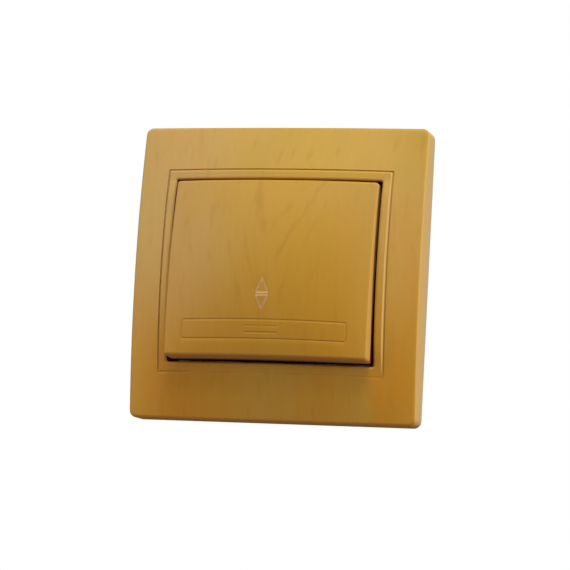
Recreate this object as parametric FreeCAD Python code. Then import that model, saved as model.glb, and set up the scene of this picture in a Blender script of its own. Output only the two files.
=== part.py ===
import FreeCAD, Part
import math
import os

# Two-way flush rocker switch, millimetres.
# X to the right, Z up, the front faces -Y. The wall's surface is y = 0.
# Sizes named "front" are measured forwards from the wall.

Vector = FreeCAD.Vector
X_AXIS = Vector(1, 0, 0)
Y_AXIS = Vector(0, 1, 0)
Z_AXIS = Vector(0, 0, 1)

# Wall box and the sizes that follow from it
box_screw_reach = 30.0
slot_edge = 5.5
plate_overhang = 5.0
yoke_half = box_screw_reach + slot_edge
plate_half = yoke_half + plate_overhang

# Cover frame
plate_corner = 2.0
plate_edge_round = 1.1
plate_wall = 2.0
dome_front = 17.5
dome_drop_x = 7.2
dome_drop_z = 8.9
dome_twist = 6.0
dome_wall = 2.2
window_half_x = 28.8
window_half_z = 25.2
window_corner = 0.5
window_lip_bevel = 0.6
skirt_wall = 1.8
skirt_foot_front = 5.0
line_half_x = 31.5
line_half_z = 27.95
line_corner = 0.5
line_width = 0.9
line_depth = 0.4
frame_rib = 1.2
rib_foot_front = 4.0
rib_x = 22.0
rib_z = 14.0

# Rocker cap
rocker_gap_x = 0.35
rocker_gap_z = 0.85
rocker_corner = 0.95
rocker_edge_round = 0.85
rocker_front = 21.9
rocker_drop_x = 5.1
rocker_drop_z = 4.6
rocker_twist = 3.0
rocker_wall = 1.8
rocker_roof = 2.0
rocker_foot_front = 7.5
label_half_x = 23.0
label_half_z = 2.5
label_z = -17.4
label_line = 0.4
engraving_depth = 0.35
label_corner = 0.8
label_bar_half_x = 4.5
label_bar_z = 0.85
mark_x = 0.0
mark_half_x = 1.7
mark_top_z = -3.9
mark_bar_z = -8.2
mark_low_z = -12.3
mark_gap = 0.7
mark_line = 0.34
mark_hatch_x = 0.7

# Rocker bearing
pivot_front = 10.5
rest_tilt = 4.3
trunnion_radius = 2.0
bearing_clearance = 0.05
ear_inner_x = 13.0
ear_width = 3.0
ear_half_z = 4.4

# Carrier
carrier_half_x = 14.0
carrier_half_z = 12.4
carrier_under_front = 14.6
carrier_plate = 1.7
cheek_gap = 0.3
cheek_width = 3.0
tube_radius = 4.0
tube_mouth_y = 1.5
tube_floor_y = -9.5
plunger_radius = 2.52
plunger_clearance = 0.08
plunger_back_y = -5.0
plunger_shoulder_y = 2.6
plunger_tip_radius = 1.8
plunger_tip_y = 7.0
spring_seat_y = -0.6
spring_pocket_radius = 2.0
spring_radius = 1.4
wire_radius = 0.25
spring_end_gap = 0.1
spring_half_turns = 11

# Yoke
yoke_corner = 7.0
yoke_thick = 1.0
yoke_window_half_x = 18.2
yoke_window_half_z = 19.2
box_slot_half_width = 2.1
box_slot_length = 7.0
tab_half_x = 4.5
tab_end_y = 10.0
tab_relief = 1.1
fixing_hole_radius = 1.6
fixing_hole_edge = 4.0
fixing_hole_z = 20.0

# Mechanism housing
housing_half_x = 19.5
housing_half_z = 20.5
housing_chamfer = 4.0
housing_back_y = 23.5
chamber_back_y = 21.0
cover_flange = 1.2
cover_boss_front = 2.0
pocket_in_x = 8.2
pocket_wall = 2.9
pocket_back_y = 18.0
corner_pocket_z = (6.2, 15.0)
side_pocket_half_z = 4.6

# Terminals
strip_thick = 1.0
contact_strip_y = 11.35
common_strip_y = 13.4
clamp_x = 11.5
strip_half_x = 3.0
strip_low_z = 11.6
strip_back_y = 20.6
pad_end_x = 3.0
pad_low_z = 7.4
common_pad_end_x = 3.4
common_pad_half_z = 2.9
strip_play = 0.1
cage_half_x = 4.0
cage_wall = 1.0
cage_front_y = 15.0
cage_depth = 5.0
cage_opening = 3.4
cage_head_room = 0.8
cage_clearance = 0.2
chamber_half_x = 4.3
chamber_low_z = 7.0
screw_radius = 1.75
screw_head_radius = 2.9
screw_head_high = 1.9
head_recess = 1.5
screw_shoulder_z = housing_half_z - head_recess
shoulder_web = 1.1
chamber_high_z = screw_shoulder_z - shoulder_web
thread_clearance = 0.05
wire_hole_radius = 1.7

# See-saw contact
seesaw_axis_y = 8.0
seesaw_tilt = 7.0
seesaw_front_y = 7.2
seesaw_half_x = 3.2
seesaw_half_z = 12.2
tip_reach_z = 9.8
tip_radius = 1.9
moving_tip_high = 0.8
fixed_tip_high = 0.5
fixed_tip_crown = 0.35

# Claws
claw_gap = 1.5
claw_thick = 1.2
claw_hinge_x = housing_half_x + claw_gap + claw_thick / 2
claw_hinge_y = 2.0
claw_z = 7.0
claw_half_z = 4.5
claw_roll_radius = 1.0
claw_flange_y = 15.0
claw_flange_thick = 1.5
claw_screw_offset = 3.4
claw_screw_x = claw_hinge_x + claw_screw_offset
claw_edge = 2.6
claw_reach_x = claw_screw_x + claw_edge
claw_screw_radius = 1.5
claw_head_radius = 3.2
claw_head_high = 2.2
claw_screw_tip_y = 19.5
lug_thick = 1.0
lug_gap = 0.4


def block(x0, x1, y0, y1, z0, z1):
    """Box from two opposite corners."""
    low = Vector(min(x0, x1), min(y0, y1), min(z0, z1))
    return Part.makeBox(abs(x1 - x0), abs(y1 - y0), abs(z1 - z0), low)


def rod(radius, start, direction, length):
    """Cylinder from a start point along a direction."""
    return Part.makeCylinder(radius, length, start, direction)


def along_y(edge):
    """True for a straight edge that runs along Y."""
    return abs(abs(edge.tangentAt(edge.FirstParameter).y) - 1) < 1e-6


def rounded(half_x, half_z, radius, y0, y1, centre_x=0.0, centre_z=0.0):
    """Upright prism along Y with rounded corners."""
    body = block(centre_x - half_x, centre_x + half_x, y0, y1, centre_z - half_z, centre_z + half_z)
    return body.makeFillet(radius, [e for e in body.Edges if along_y(e)])


def chamfered(half_x, half_z, cut, y0, y1):
    """Prism along Y with its corners cut at 45 degrees."""
    body = block(-half_x, half_x, y0, y1, -half_z, half_z)
    return body.makeChamfer(cut, [e for e in body.Edges if along_y(e)])


def prism_x(points, x0, x1):
    """Prism along X from (y, z) points."""
    corners = [Vector(x0, y, z) for y, z in points]
    face = Part.Face(Part.makePolygon(corners + corners[:1]))
    return face.extrude(Vector(x1 - x0, 0, 0))


def prism_y(points, y0, y1):
    """Prism along Y from (x, z) points."""
    corners = [Vector(x, y0, z) for x, z in points]
    face = Part.Face(Part.makePolygon(corners + corners[:1]))
    return face.extrude(Vector(0, y1 - y0, 0))


def before_crown(centre, drops, halves, back):
    """Everything in front of a crowned surface that is set back by a distance."""
    drop_x, drop_z, twist = drops
    reach = 1.08
    signs = (1, -1, 1)
    surface = Part.BezierSurface()
    surface.increase(2, 2)
    for i in range(3):
        a = reach ** 2 * signs[i]
        for j in range(3):
            b = reach ** 2 * signs[j]
            front = centre - drop_x * a - drop_z * b + twist * a * b - back
            place = Vector((i - 1) * reach * halves[0], -front, (j - 1) * reach * halves[1])
            surface.setPole(i + 1, j + 1, place)
    solid = surface.toShape().extrude(Vector(0, -30, 0))
    if solid.Volume < 0:
        solid.reverse()
    return solid


def mirrored(shape, normal):
    """Copy mirrored in the plane through the origin."""
    return shape.mirror(Vector(0, 0, 0), normal)


def turned(shape, centre, axis, degrees):
    """Copy turned about an axis."""
    copy = shape.copy()
    copy.rotate(centre, axis, degrees)
    return copy


def in_box(edge, half_x, half_z):
    """True when an edge lies inside an upright rectangle."""
    box = edge.BoundBox
    wide = max(abs(box.XMin), abs(box.XMax)) < half_x
    return wide and max(abs(box.ZMin), abs(box.ZMax)) < half_z


def save(node, shape):
    """Write one piece."""
    shape.exportStep("parts/" + node + ".step")


def dome(back):
    """Space in front of the cover frame's face."""
    return before_crown(dome_front, (dome_drop_x, dome_drop_z, dome_twist), (plate_half, plate_half), back)


rocker_half_x = window_half_x - rocker_gap_x
rocker_half_z = window_half_z - rocker_gap_z


def rocker_crown(back):
    """Space in front of the rocker's face before it is tilted."""
    drops = (rocker_drop_x, rocker_drop_z, rocker_twist)
    return before_crown(rocker_front, drops, (rocker_half_x, rocker_half_z), back)


def ring(half_x, half_z, corner, width, y0, y1, centre_z=0.0):
    """Rectangular line of even width, as a prism along Y."""
    outer = rounded(half_x + width / 2, half_z + width / 2, corner + width / 2, y0, y1, 0, centre_z)
    inner = rounded(half_x - width / 2, half_z - width / 2, corner - width / 2, y0, y1, 0, centre_z)
    return outer.cut(inner)


# Cover frame: domed shell, window skirt, ribs and snap legs
leg_x = 8.0
leg_half_x = 2.25
leg_play = 0.5
leg_low_z = window_half_z + 0.3
leg_high_z = window_half_z + skirt_wall
leg_hook = 0.8
leg_tip_y = 2.4

shell = rounded(plate_half, plate_half, plate_corner, -30, 0).cut(dome(0))
rim = [e for e in shell.Edges if e.CenterOfMass.y < -4 and not along_y(e)]
shell = shell.makeFillet(plate_edge_round, rim)
hollow_half = plate_half - plate_wall
hollow = rounded(hollow_half, hollow_half, plate_corner - plate_wall / 2, -30, 1).cut(dome(dome_wall))
shell = shell.cut(hollow)
ribs = []
for x in (-rib_x, 0.0, rib_x):
    ribs.append(block(x - frame_rib / 2, x + frame_rib / 2, -30, -rib_foot_front,
                      window_half_z + 0.5, hollow_half + 0.5))
for z in (-rib_z, 0.0, rib_z):
    ribs.append(block(window_half_x + 0.5, hollow_half + 0.5, -30, -rib_foot_front,
                      z - frame_rib / 2, z + frame_rib / 2))
ribs += [mirrored(ribs[i], Z_AXIS) for i in range(3)] + [mirrored(ribs[i], X_AXIS) for i in range(3, 6)]
skirt_half_x = window_half_x + skirt_wall
skirt_half_z = window_half_z + skirt_wall
skirt = rounded(skirt_half_x, skirt_half_z, window_corner + skirt_wall, -30, -skirt_foot_front)
backing = skirt.multiFuse(ribs).cut(dome(dome_wall / 2))
shell = shell.fuse(backing)
shell = shell.cut(rounded(window_half_x, window_half_z, window_corner, -40, 1))
lip = [e for e in shell.Edges if in_box(e, window_half_x + 0.1, window_half_z + 0.1)]
lip = [e for e in lip if e.CenterOfMass.y < -9 and not along_y(e)]
shell = shell.makeChamfer(window_lip_bevel, lip)
line = ring(line_half_x, line_half_z, line_corner, line_width, -30, 0).common(dome(line_depth))
shell = shell.cut(line)
legs = []
for x in (-leg_x, leg_x):
    leg = block(x - leg_half_x, x + leg_half_x, -skirt_foot_front - 2, leg_tip_y, leg_low_z, leg_high_z)
    barb = [(0.1, leg_high_z - 0.2), (0.1, leg_high_z + leg_hook), (0.7, leg_high_z + leg_hook)]
    barb.append((leg_tip_y, leg_high_z - 0.2))
    leg = leg.fuse(prism_x(barb, x - leg_half_x, x + leg_half_x))
    legs += [leg, mirrored(leg, Z_AXIS)]
cover_frame = shell.multiFuse(legs).removeSplitter()
save("cover_frame", cover_frame)


# Rocker cap with its engraving, seat ribs and snap arms
def tilted(shape):
    """Neutral rocker piece turned to its rest position, top pressed in."""
    return turned(shape, Vector(0, -pivot_front, 0), X_AXIS, -rest_tilt)


def bar(x0, z0, x1, z1, width):
    """Straight engraved stroke between two points, as a prism along Y."""
    length = math.hypot(x1 - x0, z1 - z0)
    nx = (z1 - z0) / length * width / 2
    nz = -(x1 - x0) / length * width / 2
    return prism_y([(x0 + nx, z0 + nz), (x1 + nx, z1 + nz), (x1 - nx, z1 - nz), (x0 - nx, z0 - nz)], -30, 0)


cap = rounded(rocker_half_x, rocker_half_z, rocker_corner, -30, -rocker_foot_front).cut(rocker_crown(0))
brow = [e for e in cap.Edges if e.CenterOfMass.y < -rocker_foot_front - 3 and not along_y(e)]
cap = cap.makeFillet(rocker_edge_round, brow)
inside_x = rocker_half_x - rocker_wall
inside_z = rocker_half_z - rocker_wall
inside = rounded(inside_x, inside_z, 0.6, -30, 0).cut(rocker_crown(rocker_roof))
cap = cap.cut(inside)
strokes = [ring(label_half_x, label_half_z, label_corner, label_line, -30, 0, label_z)]
for z in (label_z - label_bar_z, label_z + label_bar_z):
    strokes.append(bar(-label_bar_half_x, z, label_bar_half_x, z, label_line))
for tip_z, base_z in ((mark_top_z, mark_bar_z + mark_gap / 2), (mark_low_z, mark_bar_z - mark_gap / 2)):
    left, right = mark_x - mark_half_x, mark_x + mark_half_x
    strokes.append(bar(left, base_z, right, base_z, mark_line))
    strokes.append(bar(left, base_z, mark_x, tip_z, mark_line))
    strokes.append(bar(right, base_z, mark_x, tip_z, mark_line))
hatch_z = mark_bar_z + mark_gap / 2
for aside in (-mark_hatch_x, 0.0, mark_hatch_x):
    top_z = hatch_z + (1 - abs(aside) / mark_half_x) * (mark_top_z - hatch_z) - 0.5
    strokes.append(bar(mark_x + aside, hatch_z, mark_x + aside, top_z, mark_line * 0.7))
engraving = strokes[0].multiFuse(strokes[1:]).common(rocker_crown(engraving_depth))
cap = cap.cut(engraving)
arm_z = 8.5
arm_half_z = 2.0
arm_inner_x = carrier_half_x + 0.25
arm_thick = 1.5
hook_reach = 0.9
hook_front = carrier_under_front - 0.1
fittings = []
for side in (-1, 1):
    for z in (-arm_z, arm_z):
        arm = block(side * arm_inner_x, side * (arm_inner_x + arm_thick), -30, -hook_front + 1.3,
                    z - arm_half_z, z + arm_half_z)
        hook = [(side * (arm_inner_x + 0.3), -hook_front), (side * (arm_inner_x - hook_reach), -hook_front)]
        hook += [(side * (arm_inner_x - hook_reach), -hook_front + 0.3)]
        hook += [(side * (arm_inner_x + 0.3), -hook_front + 1.3)]
        corners = [Vector(x, y, z - arm_half_z) for x, y in hook]
        nose = Part.Face(Part.makePolygon(corners + corners[:1])).extrude(Vector(0, 0, 2 * arm_half_z))
        fittings += [arm.fuse(nose)]
    seat_front = carrier_under_front + carrier_plate
    fittings.append(block(side * 6.4, side * 7.6, -30, -seat_front, -11, 11))
    fittings.append(block(side * 13.0, side * 14.2, -30, -seat_front, -6, 6))
fittings.append(block(-inside_x - 0.5, inside_x + 0.5, -30, -seat_front - 0.6, -0.6, 0.6))
inner = fittings[0].multiFuse(fittings[1:]).cut(rocker_crown(rocker_roof / 2))
inner = inner.common(block(-inside_x - 0.5, inside_x + 0.5, -30, 0, -inside_z, inside_z))
rocker = tilted(cap.fuse(inner).removeSplitter())
save("rocker", rocker)

# Carrier on its trunnions, with the plunger's tube
plate_top = carrier_under_front + carrier_plate
carrier = rounded(carrier_half_x, carrier_half_z, 1.2, -plate_top, -carrier_under_front)
cheek_outer_x = ear_inner_x - cheek_gap
trunnion_end_x = ear_inner_x + ear_width + 0.2
pieces = []
for side in (-1, 1):
    cheek = block(side * (cheek_outer_x - cheek_width), side * cheek_outer_x,
                  -carrier_under_front, -pivot_front, -3.6, 3.6)
    heel_start = Vector(side * (cheek_outer_x - cheek_width), -pivot_front, 0)
    heel = rod(3.6, heel_start, X_AXIS * side, cheek_width)
    pin = rod(trunnion_radius, Vector(side * (cheek_outer_x - 1), -pivot_front, 0), X_AXIS * side,
              trunnion_end_x - cheek_outer_x + 1)
    pin = pin.makeChamfer(0.4, [e for e in pin.Edges if e.BoundBox.XLength < 0.01
                                and abs(e.CenterOfMass.x) > cheek_outer_x])
    pieces += [cheek, heel, pin]
pieces.append(rod(tube_radius, Vector(0, tube_mouth_y, 0), -Y_AXIS, tube_mouth_y + plate_top - 0.5))
for x in (-1, 1):
    web = [(-carrier_under_front, 11.0), (-carrier_under_front, -11.0), (-pivot_front + 1, -3.0)]
    web.append((-pivot_front + 1, 3.0))
    pieces.append(prism_x(web, x * 7.2 - 0.7, x * 7.2 + 0.7))
pieces.append(block(-cheek_outer_x + 1, cheek_outer_x - 1, -carrier_under_front, -pivot_front - 0.5,
                    -0.7, 0.7))
carrier = carrier.multiFuse(pieces)
bore_radius = plunger_radius + plunger_clearance
bore_start_y = tube_mouth_y + 1
carrier = carrier.cut(rod(bore_radius, Vector(0, bore_start_y, 0), -Y_AXIS, bore_start_y - tube_floor_y))
carrier = tilted(carrier.removeSplitter())
save("carrier", carrier)

# Plunger: hollow pin with a round nose
outline = [(0, spring_seat_y), (spring_pocket_radius, spring_seat_y)]
outline += [(spring_pocket_radius, plunger_back_y), (plunger_radius - 0.15, plunger_back_y)]
outline.append((plunger_radius, plunger_back_y + 0.3))
outline += [(plunger_radius, plunger_shoulder_y - 0.7), (plunger_tip_radius, plunger_shoulder_y)]
nose_y = plunger_tip_y - plunger_tip_radius
outline.append((plunger_tip_radius, nose_y))
points = [Vector(r, y, 0) for r, y in outline]
edges = [Part.makeLine(points[i], points[i + 1]) for i in range(len(points) - 1)]
half = plunger_tip_radius * math.sqrt(0.5)
nose_arc = Part.Arc(points[-1], Vector(half, nose_y + half, 0), Vector(0, plunger_tip_y, 0)).toShape()
edges += [nose_arc, Part.makeLine(Vector(0, plunger_tip_y, 0), points[0])]
plunger = Part.Face(Part.Wire(edges)).revolve(Vector(0, 0, 0), Y_AXIS, 360)
plunger = tilted(plunger)
save("plunger", plunger)


# Plunger spring: one tube on quarter-turn arcs
def helix_point(turn, y0, pitch):
    """Point on the spring's centre line."""
    angle = 2 * math.pi * turn
    return Vector(spring_radius * math.cos(angle), y0 + pitch * turn, spring_radius * math.sin(angle))


spring_start_y = tube_floor_y + spring_end_gap + wire_radius
spring_end_y = spring_seat_y - spring_end_gap - wire_radius
quarters = 2 * spring_half_turns
pitch = (spring_end_y - spring_start_y) / (quarters / 4)
arcs = []
for i in range(quarters):
    ends = [helix_point((i + k / 2) / 4, spring_start_y, pitch) for k in range(3)]
    arcs.append(Part.Arc(ends[0], ends[1], ends[2]).toShape())
path = Part.Wire(arcs)
first = helix_point(0, spring_start_y, pitch)
heading = arcs[0].tangentAt(arcs[0].FirstParameter)
profile = Part.Wire(Part.makeCircle(wire_radius, first, heading))
spring = path.makePipeShell([profile], True, False)
spring = tilted(spring)
save("plunger_spring", spring)


# Yoke: stamped plate with slots, snap windows, housing tabs and hinge lugs
def slot(centre_x, centre_z, along_x, length, half_width, y0, y1):
    """Round-ended slot as a prism along Y."""
    run = length / 2 - half_width
    dx, dz = (run, 0) if along_x else (0, run)
    wide, high = (run, half_width) if along_x else (half_width, run)
    body = block(centre_x - wide, centre_x + wide, y0, y1, centre_z - high, centre_z + high)
    ends = [Vector(centre_x + s * dx, y0, centre_z + s * dz) for s in (-1, 1)]
    return body.multiFuse([rod(half_width, end, Y_AXIS, y1 - y0) for end in ends])


yoke = rounded(yoke_half, yoke_half, yoke_corner, -yoke_thick, 0)
tab_low_z = housing_half_z + 0.05
openings = [rounded(yoke_window_half_x, yoke_window_half_z, 1.5, -3, 3)]
relief_x = tab_half_x + tab_relief
openings.append(block(-relief_x, relief_x, -3, 3, -tab_low_z, tab_low_z))
for side in (-1, 1):
    openings.append(slot(side * box_screw_reach, 0, True, box_slot_length, box_slot_half_width, -3, 3))
    openings.append(slot(0, side * box_screw_reach, False, box_slot_length, box_slot_half_width, -3, 3))
    middle_x = claw_screw_x - 0.35
    openings.append(slot(side * middle_x, side * claw_z, True, 4.7, claw_screw_radius + 0.4, -3, 3))
    for z in (-1, 1):
        low = z * (leg_low_z - 0.3)
        high = z * (leg_high_z + 0.3)
        leg_room = leg_half_x + leg_play
        openings.append(block(side * leg_x - leg_room, side * leg_x + leg_room, -3, 3, low, high))
        hole_x = yoke_half - fixing_hole_edge
        openings.append(rod(fixing_hole_radius, Vector(side * hole_x, -3, z * fixing_hole_z), Y_AXIS, 6))
yoke = yoke.cut(openings[0].multiFuse(openings[1:]))
tab = block(-tab_half_x, tab_half_x, -yoke_thick, tab_end_y, tab_low_z, tab_low_z + yoke_thick)
bend = [e for e in tab.Edges if abs(e.CenterOfMass.y + yoke_thick) < 1e-6
        and abs(e.CenterOfMass.z - tab_low_z) < 1e-6]
tab = tab.makeFillet(yoke_thick * 0.9, bend)
tab_window_y = 4.0
tab_window_high = 2.8
tab = tab.cut(block(-2.7, 2.7, tab_window_y, tab_window_y + tab_window_high, tab_low_z - 1, tab_low_z + 2))
foot = [e for e in tab.Edges if abs(abs(e.CenterOfMass.x) - tab_half_x) < 1e-6
        and abs(e.CenterOfMass.y - tab_end_y) < 1e-6]
tab = tab.makeFillet(1.5, foot)
grown = [tab, mirrored(tab, Z_AXIS)]
lug_start = claw_half_z + lug_gap
lug_round = 1.9
for side in (-1, 1):
    for end in (-1, 1):
        near = side * claw_z + end * lug_start
        far = near + end * lug_thick
        lug = block(side * (claw_hinge_x - lug_round), side * (claw_hinge_x + lug_round), -yoke_thick / 2,
                    claw_hinge_y, near, far)
        lug_end = Vector(side * claw_hinge_x, claw_hinge_y, near)
        lug = lug.fuse(rod(lug_round, lug_end, Z_AXIS * end, lug_thick))
        grown.append(lug)
yoke = yoke.multiFuse(grown)
eye_half = lug_start + lug_thick + 1
for side in (-1, 1):
    eye_end = Vector(side * claw_hinge_x, claw_hinge_y, side * claw_z - eye_half)
    eye = rod(claw_roll_radius + bearing_clearance, eye_end, Z_AXIS, 2 * eye_half)
    yoke = yoke.cut(eye)
yoke = yoke.removeSplitter()
save("yoke", yoke)


# Expansion claw and its screw, right side, then turned half round for the left
roll_half = lug_start + lug_thick + 0.3
claw = rod(claw_roll_radius, Vector(claw_hinge_x, claw_hinge_y, claw_z - roll_half), Z_AXIS, 2 * roll_half)
arm_x = claw_hinge_x - claw_thick / 2
arm = block(arm_x, arm_x + claw_thick, claw_hinge_y, claw_flange_y + claw_flange_thick,
            claw_z - claw_half_z, claw_z + claw_half_z)
arm = arm.cut(rounded(10, 1.8, 1.2, 5.0, 11.0, claw_hinge_x, claw_z))
flange = block(arm_x, claw_reach_x, claw_flange_y, claw_flange_y + claw_flange_thick,
               claw_z - claw_half_z, claw_z + claw_half_z)
folded = arm.fuse(flange).removeSplitter()
fold = [e for e in folded.Edges if abs(e.CenterOfMass.x - arm_x) < 1e-6
        and abs(e.CenterOfMass.y - claw_flange_y - claw_flange_thick) < 1e-6]
folded = folded.makeFillet(claw_thick * 0.9, fold)
claw = claw.fuse(folded)
tooth = 2 * claw_half_z / 4
for i in range(4):
    z = claw_z - claw_half_z + (i + 0.5) * tooth
    if i % 2 == 0:
        notch = [(claw_reach_x + 0.1, z - tooth * 0.5), (claw_reach_x + 0.1, z + tooth * 0.5)]
        notch.append((claw_reach_x - 1.5, z))
    else:
        notch = [(claw_reach_x + 0.1, z - tooth * 0.4), (claw_reach_x + 0.1, z + tooth * 0.4)]
        notch.append((claw_reach_x - 1.0, z))
    claw = claw.cut(prism_y(notch, claw_flange_y - 1, claw_flange_y + claw_flange_thick + 1))
hole_start = Vector(claw_screw_x, claw_flange_y - 1, claw_z)
claw = claw.cut(rod(claw_screw_radius + thread_clearance, hole_start, Y_AXIS, 4))
claw = claw.removeSplitter()


def cross_slot(centre, direction, across, wide, deep):
    """Crossed driver slots cut into a screw head from its top."""
    third = direction.cross(across)
    shapes = []
    for run, thin in ((across, third), (third, across)):
        start = centre - run * 5 - thin * (wide / 2)
        corners = [start, start + run * 10, start + run * 10 + thin * wide, start + thin * wide]
        face = Part.Face(Part.makePolygon(corners + corners[:1]))
        shapes.append(face.extrude(direction * deep))
    return shapes[0].fuse(shapes[1])


def screw(head_top, direction, head_radius, head_high, shank_radius, length, across):
    """Cross-slotted screw: bevelled head, plain shank and a short point."""
    head = rod(head_radius, head_top, direction, head_high)
    crown = [e for e in head.Edges if (e.CenterOfMass - head_top).Length < 1e-6]
    head = head.makeChamfer(head_high * 0.3, crown)
    shank = rod(shank_radius, head_top + direction * (head_high * 0.5), direction, length - head_high * 0.5)
    point = [e for e in shank.Edges if (e.CenterOfMass - head_top).Length > length - 0.01]
    shank = shank.makeChamfer(shank_radius * 0.4, point)
    body = head.fuse(shank)
    return body.cut(cross_slot(head_top, direction, across, 0.8, head_high * 0.55)).removeSplitter()


head_under_y = -yoke_thick - 0.1
claw_length = claw_screw_tip_y - head_under_y + claw_head_high
claw_screw = screw(Vector(claw_screw_x, head_under_y - claw_head_high, claw_z), Y_AXIS, claw_head_radius,
                   claw_head_high, claw_screw_radius, claw_length, X_AXIS)
save("claw_right", turned(claw, Vector(0, 0, 0), Y_AXIS, 0))
save("claw_left", turned(claw, Vector(0, 0, 0), Y_AXIS, 180))
save("claw_screw_right", claw_screw)
save("claw_screw_left", turned(claw_screw, Vector(0, 0, 0), Y_AXIS, 180))

# Mechanism cover: flange under the yoke, boss in its window, bearing ears and stops
lid = chamfered(housing_half_x, housing_half_z, housing_chamfer, 0, cover_flange)
boss = rounded(yoke_window_half_x - 0.3, yoke_window_half_z - 0.3, 1.2, -cover_boss_front, 0)
parts = [boss]
for side in (-1, 1):
    ear = block(side * ear_inner_x, side * (ear_inner_x + ear_width), -pivot_front, 0,
                -ear_half_z, ear_half_z)
    top = rod(ear_half_z - 0.6, Vector(side * ear_inner_x, -pivot_front, 0), X_AXIS * side, ear_width)
    ear = ear.cut(block(-30, 30, -pivot_front - 1, -pivot_front + 2.0, ear_half_z - 0.6, 9))
    ear = ear.cut(block(-30, 30, -pivot_front - 1, -pivot_front + 2.0, -9, -ear_half_z + 0.6))
    parts += [ear, top]
    gusset = [(-cover_boss_front, ear_half_z + 4.0), (-cover_boss_front, ear_half_z - 1)]
    gusset.append((-cover_boss_front - 5.0, ear_half_z - 1))
    for flip in (1, -1):
        wedge = [(y, flip * z) for y, z in gusset]
        parts.append(prism_x(wedge, side * (ear_inner_x + 0.8), side * (ear_inner_x + 2.2)))
stop_front = 13.55
for flip in (1, -1):
    parts.append(block(-9.0, 9.0, -stop_front, 0, flip * 11.0, flip * 12.2))
    for side in (-1, 1):
        parts.append(block(side * 8.0, side * 9.0, -stop_front + 4, 0, flip * 9.0, flip * 12.2))
lid = lid.multiFuse(parts)
lid = lid.cut(block(-5.4, 5.4, -5, 5, -6.6, 6.6))
lid = lid.cut(rod(trunnion_radius + bearing_clearance, Vector(-30, -pivot_front, 0), X_AXIS, 60))
lid = lid.removeSplitter()
save("mechanism_cover", lid)

# See-saw contact and its two tips, tilted to the rest position
seesaw_back_y = seesaw_front_y + strip_thick


def rocked(shape):
    """Neutral see-saw piece turned to its rest position, lower arm back."""
    return turned(shape, Vector(0, seesaw_axis_y, 0), X_AXIS, seesaw_tilt)


seesaw = rounded(seesaw_half_x, seesaw_half_z, 1.2, seesaw_front_y, seesaw_back_y)
rails = []
for side in (-1, 1):
    rails.append(block(side * (seesaw_half_x - 0.6), side * seesaw_half_x, seesaw_front_y - 0.7,
                       seesaw_front_y + 0.2, -5, 5))
seesaw = seesaw.multiFuse(rails)
valley = [(seesaw_axis_y - 0.1, 0), (seesaw_back_y + 0.1, 0.8), (seesaw_back_y + 0.1, -0.8)]
seesaw = seesaw.cut(prism_x(valley, -5, 5))
tip_tail = 1.0
tips = []
for z in (-tip_reach_z, tip_reach_z):
    hole = rod(tip_tail, Vector(0, seesaw_front_y - 1, z), Y_AXIS, 4)
    seesaw = seesaw.cut(hole)
    button = rod(tip_radius, Vector(0, seesaw_back_y, z), Y_AXIS, moving_tip_high)
    face = [e for e in button.Edges if abs(e.CenterOfMass.y - seesaw_back_y - moving_tip_high) < 1e-6]
    button = button.makeChamfer(0.3, face)
    stem = rod(tip_tail, Vector(0, seesaw_front_y, z), Y_AXIS, strip_thick + 0.1)
    clinch = rod(tip_tail + 0.4, Vector(0, seesaw_front_y, z), -Y_AXIS, 0.4)
    tips.append(button.fuse(stem).fuse(clinch).removeSplitter())
save("moving_contact", rocked(seesaw.removeSplitter()))
save("moving_tips", rocked(Part.makeCompound(tips)))


# Fixed strips, each folded back into its clamp
strip_high_z = strip_low_z + strip_thick
fold_left = -clamp_x - strip_half_x
fold_right = -clamp_x + strip_half_x
pad = block(fold_left, pad_end_x, contact_strip_y, contact_strip_y + strip_thick, pad_low_z, strip_high_z)
tail = block(fold_left, fold_right, contact_strip_y, strip_back_y, strip_low_z, strip_high_z)
terminal = pad.fuse(tail).removeSplitter()
outer_fold = [e for e in terminal.Edges if abs(e.CenterOfMass.z - strip_high_z) < 1e-6
              and abs(e.CenterOfMass.y - contact_strip_y) < 1e-6]
terminal = terminal.makeFillet(0.8, outer_fold)
pad_corner = [e for e in terminal.Edges if along_y(e) and abs(e.CenterOfMass.x - pad_end_x) < 1e-6]
terminal = terminal.makeFillet(1.0, [e for e in pad_corner if e.CenterOfMass.z < tip_reach_z])
terminal = terminal.cut(rod(tip_tail, Vector(0, contact_strip_y - 1, tip_reach_z), Y_AXIS, 4))
tip_face_y = contact_strip_y - fixed_tip_high - fixed_tip_crown
crown_radius = (tip_radius ** 2 + fixed_tip_crown ** 2) / (2 * fixed_tip_crown)
crown_tip = rod(tip_radius, Vector(0, tip_face_y, 0), Y_AXIS, fixed_tip_high + fixed_tip_crown)
crown_tip = crown_tip.common(Part.makeSphere(crown_radius, Vector(0, tip_face_y + crown_radius, 0)))
crown_tip = crown_tip.fuse(rod(tip_tail, Vector(0, contact_strip_y - 0.1, 0), Y_AXIS, strip_thick + 0.1))
crown_tip = crown_tip.removeSplitter()
fixed = []
for z in (-tip_reach_z, tip_reach_z):
    copy = crown_tip.copy()
    copy.translate(Vector(0, 0, z))
    fixed.append(copy)
save("terminal_one", terminal)
save("terminal_two", mirrored(terminal, Z_AXIS))
save("fixed_tips", Part.makeCompound(fixed))
common_y1 = common_strip_y + strip_thick
common = block(-common_pad_end_x, clamp_x + strip_half_x, common_strip_y, common_y1,
               -common_pad_half_z, common_pad_half_z)
common_parts = [block(clamp_x - strip_half_x, clamp_x + strip_half_x, common_strip_y, common_y1,
                      -strip_high_z, common_pad_half_z)]
common_parts.append(block(clamp_x - strip_half_x, clamp_x + strip_half_x, common_strip_y, strip_back_y,
                          -strip_high_z, -strip_low_z))
knife = [(common_strip_y + 0.2, -0.5), (seesaw_axis_y + 1.07, -0.5), (seesaw_axis_y, 0)]
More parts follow.
